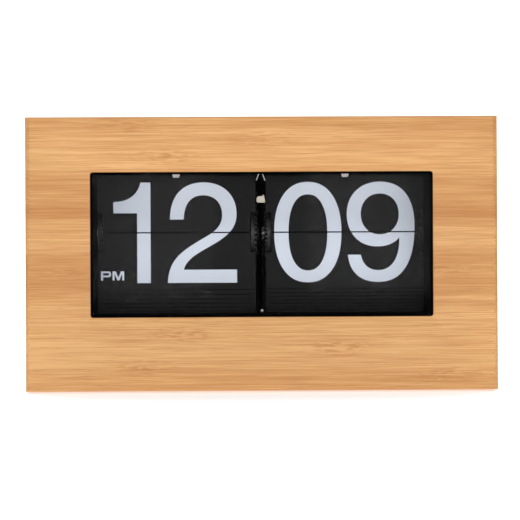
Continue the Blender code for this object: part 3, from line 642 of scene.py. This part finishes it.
def add_print(bm, side, step, pose, half, glyphs, facing):
    """Screen-printed ink on a leaf: the upper (1) or lower (-1) half of each glyph, on the leaf's face
    (1) or its back (-1)."""
    rise = pin_rise(step)
    for name, nudge in glyphs:
        flat = bmesh.new()
        middle = side * MODULE_MIDDLE
        loops = [[flat.verts.new((middle + (x + nudge) * GLYPH_SIZE, half * z * GLYPH_SIZE, 0.0))
                  for x, z in loop] for loop in GLYPHS[name]]
        for loop in loops:
            for i in range(len(loop)):
                flat.edges.new((loop[i - 1], loop[i]))
        bmesh.ops.triangle_fill(flat, edges=flat.edges[:], use_beauty=True, use_dissolve=False)
        bmesh.ops.bisect_plane(flat, geom=flat.verts[:] + flat.edges[:] + flat.faces[:],
                               plane_co=(0, SPLIT / 2, 0), plane_no=(0, 1, 0), clear_inner=True)
        if not flat.faces:
            flat.free()
            continue
        bmesh.ops.dissolve_limit(flat, angle_limit=0.001, verts=flat.verts[:], edges=flat.edges[:])
        made = bmesh.ops.extrude_face_region(flat, geom=flat.faces[:])
        top = {v for v in made["geom"] if isinstance(v, bmesh.types.BMVert)}
        copies = {}
        for v in flat.verts:
            lift = facing * (LEAF_THICK / 2 + (INK if v in top else INK_LIFT))
            copies[v] = bm.verts.new(set_on_leaf(pose, v.co.x, v.co.y - rise, lift))
        for face in flat.faces:
            bm.faces.new([copies[v] for v in face.verts])
        flat.free()


def build_module(mat, name):
    """One module's leaves: the falling one, the one below the split line, and the two packs behind."""
    side, step = MODULES[name]
    tail = pin_rise(step) - SPLIT / 2
    half_turn, count = round(180 / step), round(360 / step)
    shown = {"hour": [("1", 0.0), ("2", 0.0)], "minute": [("0", 0.0), ("9", 0.0)]}[name]
    coming = {"hour": [("1", 17.0)], "minute": [("1", 0.0), ("0", 33.85)]}[name]
    below = [("P", 0.0), ("M", 0.0)] if name == "hour" else []
    falling = name + "_leaf"

    for piece, index, body in (("front", 0, falling), ("lower", count - 1, "case")):
        bm = bmesh.new()
        add_leaf(bm, side, step, index, tail)
        leaf = finish_piece(f"{name}_{piece}_leaf", bm, mat["leaf_black"], body)
        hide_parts(f"{name}_leaf_{piece}")
    prints = (("shown_top", 0, 1, shown, 1, falling),
              ("coming_bottom", 0, -1, coming + below, -1, falling),
              ("coming_top", 1, 1, coming, 1, "case"),
              ("shown_bottom", count - 1, -1, shown + below, -1, "case"))
    for label, index, half, glyphs, facing, body in prints:
        bm = bmesh.new()
        add_print(bm, side, step, leaf_pose(step, index), half, glyphs, facing)
        finish_piece(f"{name}_digits_{label}", bm, mat["ink"], body)
    for pack, first, last in (("standing", 1, half_turn), ("hanging", half_turn + 1, count - 2)):
        bm = bmesh.new()
        for index in range(first, last + 1):
            add_leaf(bm, side, step, index, LEAF_PACK_TAIL)
        stack = finish_piece(f"{name}_{pack}_stack", bm, mat["leaf_black"], "case")
        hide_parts(f"{name}_leaves_{pack}")


# ---------------------------------------------------------------- drums and small parts

def build_flanges(mat):
    """Drum flanges: a disc with a round-bottomed slot for each leaf, and a plain rim with a thin lip."""
    rim, slot_bottom, half, disc = 17.7, 16.25, 0.42, 1.0
    lip_bottom, lip_width, rim_bottom, seam = 17.2, 0.3, 16.6, 0.02
    tooth = ((rim, 1.35), (rim - 0.25, 1.0), (slot_bottom + 0.3, 1.0))
    for name, (_, step) in MODULES.items():
        outline = []
        for index in range(round(360 / step)):
            middle, edge = step * (index + 0.5), math.degrees(half / rim)
            outline += [on_drum(radius, middle - edge * share) for radius, share in tooth]
            outline.append(on_drum(slot_bottom, middle))
            outline += [on_drum(radius, middle + edge * share) for radius, share in reversed(tooth)]
        outline = [tuple(p + AXIS) for p in outline]
        bore = circle(1.6, 32, AXIS)
        for place_name in ("left", "right"):
            node = f"{name}_{place_name}_flange"
            low, high = corners(node)
            start, end = sorted((low.x, high.x), key=abs)
            out = math.copysign(1.0, end)
            back, lip = start + out * disc, end - out * lip_width
            rings = [(start, outline), (back, outline)]
            teeth = make_solid(f"{name}_{place_name}_slotted_disc", mat["drum_black"], name + "_drum",
                               "X", rings, holes=[straight(rings, bore)])
            near = back + out * seam
            profile = ((near, rim_bottom), (near, lip_bottom), (lip, lip_bottom), (lip, rim), (end, rim),
                       (end, rim_bottom))
            rings = [(x, circle(radius, 120, AXIS)) for x, radius in profile]
            plain = make_solid(f"{name}_{place_name}_plain_rim", mat["drum_black"], name + "_drum",
                               "X", rings, holes=[straight(rings, bore)], smooth=40)
            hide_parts(node)
            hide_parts(node)


def build_pawl(mat):
    """The pawl: a cream moulded head, on a black arm that swings on its pin."""
    pivot = joint_place("reverse_pawl_lift")
    y, z = pivot
    head = [(-1.55, 85.35), (1.90, 85.2), (2.15, 85.6), (2.0, 86.4), (1.65, 88.3), (1.4, 88.95),
            (1.1, 88.85), (0.8, 88.3), (-0.9, 88.2), (-1.6, 87.8), (-1.95, 87.0), (-1.9, 86.0)]
    arm = [(-10.6, 86.8), (-9.6, 86.4), (y + 1.0, z - 2.0), (y + 2.1, z - 0.6), (y + 2.1, z + 0.6),
           (y + 0.8, z + 1.9), (y - 1.6, z + 1.6), (-10.6, 88.4)]
    bm = bmesh.new()
    add_solid(bm, "Y", [(-12.0, head), (-9.0, head)])
    piece = finish_piece("pawl_head", bm, mat["pawl_cream"], "pawl", bevel=0.3)
    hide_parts("reverse_pawl")
    bm = bmesh.new()
    add_solid(bm, "X", [(0.9, arm), (2.0, arm)])
    finish_piece("pawl_arm", bm, mat["chassis_black"], "pawl", bevel=0.2)
    make_solid("pawl_pin", mat["chassis_black"], "pawl", "X",
               [(-1.2, circle(0.8, 24, pivot)), (1.2, circle(0.8, 24, pivot))], smooth=35)


def build_centre_screw(mat):
    """The small screw on the rail's tab, in the gap between the modules."""
    low = corners("lower_rail")[0]
    centre = (0.4, 35.8)
    profile = [(low.y, 0.7), (low.y - 0.2, 0.7), (low.y - 0.35, 0.5), (low.y - 0.42, 0.25)]
    make_solid("centre_screw", mat["steel"], "case", "Y",
               [(y, circle(r, 24, centre)) for y, r in profile], smooth=50)


# ---------------------------------------------------------------- back of the clock

def cross(centre, reach, half):
    """A cross-shaped outline for a screw's recess."""
    x, z = centre
    points = [(half, half), (half, reach), (-half, reach), (-half, half), (-reach, half), (-reach, -half),
              (-half, -half), (-half, -reach), (half, -reach), (half, -half), (reach, -half), (reach, half)]
    return [(x + u, z + v) for u, v in points]


def build_screws(mat):
    """The rear cover's pan-head screws, each with a cross recess."""
    for name in ("screw_lower_left", "screw_lower_right", "screw_upper_left", "screw_upper_right"):
        low, high = corners(name)
        centre = ((low.x + high.x) / 2, (low.z + high.z) / 2)
        radius, face = (high.x - low.x) / 2, high.y
        shank, head_depth = 1.3, 1.2
        profile = [(low.y, 0.9), (low.y + 0.6, shank), (face - head_depth, shank),
                   (face - head_depth, radius), (face - 0.8, radius), (face - 0.35, radius - 0.25),
                   (face - 0.08, radius - 0.8), (face, radius - 1.3)]
        screw = make_solid("steel_" + name, mat["steel"], "case", "Y",
                           [(y, circle(r, 48, centre)) for y, r in profile], smooth=50)
        cutter_mesh = bmesh.new()
        outline = cross(centre, 1.15, 0.24)
        add_solid(cutter_mesh, "Y", [(face - 0.75, outline), (face + 0.5, outline)])
        bmesh.ops.recalc_face_normals(cutter_mesh, faces=cutter_mesh.faces)
        mesh = bpy.data.meshes.new(name + "_cutter")
        cutter_mesh.to_mesh(mesh)
        cutter_mesh.free()
        cutter = bpy.data.objects.new(name + "_cutter", mesh)
        bpy.context.scene.collection.objects.link(cutter)
        recess = screw.modifiers.new("recess", "BOOLEAN")
        recess.operation = "DIFFERENCE"
        recess.object = cutter
        bake_modifiers(screw)
        bpy.data.objects.remove(cutter)
        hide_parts(name)


def bake_modifiers(piece):
    """Turn a piece's modifiers into its mesh."""
    bpy.context.view_layer.update()
    evaluated = piece.evaluated_get(bpy.context.evaluated_depsgraph_get())
    mesh = bpy.data.meshes.new_from_object(evaluated)
    piece.modifiers.clear()
    piece.data = mesh


def build_door(mat):
    """The battery door: a softened plate with grip ribs."""
    low, high = corners("battery_door")
    outline = rounded((low.x, low.z), (high.x, high.z), 1.0)
    door = make_solid("battery_door_plate", mat["case_black"], "door", "Y",
                      [(low.y, outline), (high.y, outline)], bevel=0.25)
    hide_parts("battery_door")
    middle = (low.z + high.z) / 2
    count, pitch = 7, 3.0
    bm = bmesh.new()
    for i in range(count):
        x = pitch * (i - (count - 1) / 2)
        rib = rounded((x - 0.6, middle - 4.5), (x + 0.6, middle + 4.5), 0.55)
        crest = rounded((x - 0.45, middle - 4.35), (x + 0.45, middle + 4.35), 0.4)
        add_solid(bm, "Y", [(high.y - 0.2, rib), (high.y + 0.45, rib), (high.y + 0.6, crest)])
    finish_piece("battery_door_ribs", bm, mat["case_black"], "door", smooth=40)


def build_cover_details(mat):
    """A raised bead round the battery door and a panel of ribs, both moulded on the rear cover."""
    face = corners("rear_cover")[1].y
    door_low, door_high = corners("battery_door")
    margin, width, height = 2.2, 1.0, 0.7
    outer = rounded((door_low.x - margin - width, door_low.z - 1.6),
                    (door_high.x + margin + width, door_high.z + margin + width), 2.0)
    inner = rounded((door_low.x - margin, door_low.z - 0.8),
                    (door_high.x + margin, door_high.z + margin), 1.2)
    rings = [(face - 0.1, outer), (face + height, outer)]
    make_solid("door_bead", mat["case_black"], "case", "Y", rings,
               holes=[straight(rings, inner)])
    count, pitch, lowest, half = 9, 4.0, 58.0, 22.0
    bm = bmesh.new()
    for i in range(count):
        z = lowest + pitch * i
        rib = rounded((-half, z - 0.7), (half, z + 0.7), 0.65)
        crest = rounded((-half + 0.2, z - 0.5), (half - 0.2, z + 0.5), 0.45)
        add_solid(bm, "Y", [(face - 0.1, rib), (face + 0.45, rib), (face + 0.65, crest)])
    finish_piece("cover_ribs", bm, mat["case_black"], "case", smooth=40)


def build_cells(mat):
    """Cells with a rounded shoulder, a raised positive cap and a flat negative face."""
    for name in ("battery_cell_left", "battery_cell_right"):
        low, high = corners(name)
        centre = ((low.y + high.y) / 2, (low.z + high.z) / 2)
        radius = (high.z - low.z) / 2
        start, end = low.x, high.x
        profile = [(start, 4.6), (start + 0.1, 6.5), (start + 0.35, radius - 0.1), (start + 0.8, radius),
                   (end - 2.1, radius), (end - 1.65, radius - 0.15), (end - 1.4, radius - 0.7),
                   (end - 1.3, 5.0), (end - 1.2, 2.9), (end - 1.1, 2.7), (end - 0.3, 2.7), (end, 2.35)]
        cell = make_solid("dry_" + name, mat["cell"], "batteries", "X",
                          [(x, circle(r, 48, centre)) for x, r in profile], smooth=50)
        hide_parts(name)


def build_thumbwheel(mat):
    """The time-setting wheel: a knurled rim and a gear whose teeth meet the minute drum's drive gear."""
    low, high = corners("setting_wheel")
    centre = joint_place("setting_wheel_spin")
    teeth, module = 24, 0.6
    count = teeth * 8
    drive_teeth = 60
    away = math.atan2(centre.y - AXIS.y, centre.x - AXIS.x)
    first_tooth = away + math.pi + (away % (TAU / drive_teeth)) * drive_teeth / teeth + math.pi / teeth
    tip, root, flank = 0.8, -1.2, 0.35
    rim, knurl_depth, shoulder, edge = (high.z - low.z) / 2, 0.28, 1.1, 0.4
    gear, knurl = [], []
    for i in range(count):
        angle = TAU * i / count
        around = Vector((math.cos(angle), math.sin(angle)))
        wave = math.cos((angle - first_tooth) * teeth) / flank
        height = root + (tip - root) * (1 + max(-1.0, min(1.0, wave))) / 2
        gear.append(tuple(centre + around * module * (teeth / 2 + height)))
        knurl.append(tuple(centre + around * (rim - knurl_depth * (1 + math.cos(angle * teeth * 2)))))
    hub, inner = circle(4.0, count, centre), circle(rim - shoulder, count, centre)
    gear_end, rim_start = low.x + 2.5, high.x - 5.0
    rings = [(low.x, gear), (gear_end, gear), (gear_end, hub), (rim_start, hub), (rim_start, inner),
             (rim_start + edge, knurl), (high.x - edge, knurl), (high.x, inner)]
    wheel = make_solid("time_setting_wheel", mat["knob_black"], "setting", "X", rings,
                       holes=[straight(rings, circle(1.7, 32, centre))], smooth=40)
    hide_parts("setting_wheel")


# ---------------------------------------------------------------- stage, light and camera

def add_area(name, location, target, size, power):
    """A soft white light; stage and camera lengths are in metres."""
    light = bpy.data.lights.new(name, "AREA")
    light.shape = "RECTANGLE"
    light.size, light.size_y = size
    light.energy = power
    lamp = bpy.data.objects.new(name, light)
    lamp.location = location
    lamp.rotation_euler = (Vector(target) - Vector(location)).to_track_quat("-Z", "Y").to_euler()
    bpy.context.scene.collection.objects.link(lamp)


def build_stage():
    """A white sweep, seen as plain white behind the clock."""
    paper = Shader("white_sweep", Specular_IOR_Level=0.1)
    tone = paper.noise(paper.stretch(4.0), detail=2.0)
    paper.colour(paper.ramp(tone, ((0.3, 0.90), (0.7, 0.93))))
    paper.roughness(0.9)
    paper.surface.inputs["Emission Color"].default_value = (1.0, 1.0, 1.0, 1.0)
    paper.surface.inputs["Emission Strength"].default_value = 0.5
    near, turn_start, turn, top, half, steps = -2.5, 0.9, 0.6, 3.0, 3.0, 12
    profile = [(near, 0.0), (turn_start, 0.0)]
    for i in range(1, steps + 1):
        angle = math.pi / 2 * i / steps
        profile.append((turn_start + turn * math.sin(angle), turn * (1 - math.cos(angle))))
    profile.append((turn_start + turn, top))
    bm = bmesh.new()
    rows = [[bm.verts.new((x, y, z)) for y, z in profile] for x in (-half, half)]
    for i in range(len(profile) - 1):
        bm.faces.new((rows[0][i], rows[1][i], rows[1][i + 1], rows[0][i + 1]))
    mesh = bpy.data.meshes.new("sweep")
    bm.to_mesh(mesh)
    bm.free()
    mesh.shade_smooth()
    mesh.materials.append(paper.material)
    sweep = bpy.data.objects.new("sweep", mesh)
    bpy.context.scene.collection.objects.link(sweep)

    world = bpy.data.worlds.new("studio")
    world.use_nodes = True
    background = world.node_tree.nodes["Background"].inputs
    background["Color"].default_value = (1.0, 1.0, 1.0, 1.0)
    background["Strength"].default_value = 0.12
    bpy.context.scene.world = world

    add_area("front_left", (-0.42, -1.50, 0.15), (0.0, 0.0, 0.04), (0.8, 0.28), 4.2)
    add_area("front_right", (0.46, -1.50, 0.17), (0.0, 0.0, 0.04), (0.8, 0.30), 4.8)
    add_area("front_top", (0.0, -1.00, 0.95), (0.0, -0.2, 0.0), (0.9, 0.4), 5.4)
    add_area("sweep", (0.0, 0.75, 1.5), (0.0, 0.75, 0.0), (2.4, 1.0), 16.0)
    add_area("back", (0.3, 1.2, 1.0), (0.0, 0.0, 0.06), (1.2, 0.8), 4.0)


def build_camera():
    """A long lens a little to the left of the clock, level with its middle."""
    distance, view_width = 0.9, 0.2308
    data = bpy.data.cameras.new("camera")
    data.sensor_width = 36.0
    data.lens = data.sensor_width * distance / view_width
    camera = bpy.data.objects.new("camera", data)
    aim = Vector((-0.00087, cad_box[0][1], 0.0589))
    turn, roll = math.radians(-0.85), math.radians(-0.28)
    away = Vector((math.sin(turn), -math.cos(turn), 0.0))
    camera.location = aim + away * distance
    look = (-away).to_track_quat("-Z", "Y").to_matrix()
    camera.rotation_euler = (look @ Matrix.Rotation(roll, 3, "Z")).to_euler()
    bpy.context.scene.collection.objects.link(camera)
    bpy.context.scene.camera = camera
    bpy.context.scene.view_settings.view_transform = "Standard"


def build():
    build_camera()
    mat = make_materials()
    dress_frame(mat)
    build_case(mat)
    build_feet(mat)
    for name in MODULES:
        build_module(mat, name)
    build_flanges(mat)
    build_pawl(mat)
    build_centre_screw(mat)
    build_screws(mat)
    build_door(mat)
    build_cover_details(mat)
    build_cells(mat)
    build_thumbwheel(mat)
    build_stage()


build()
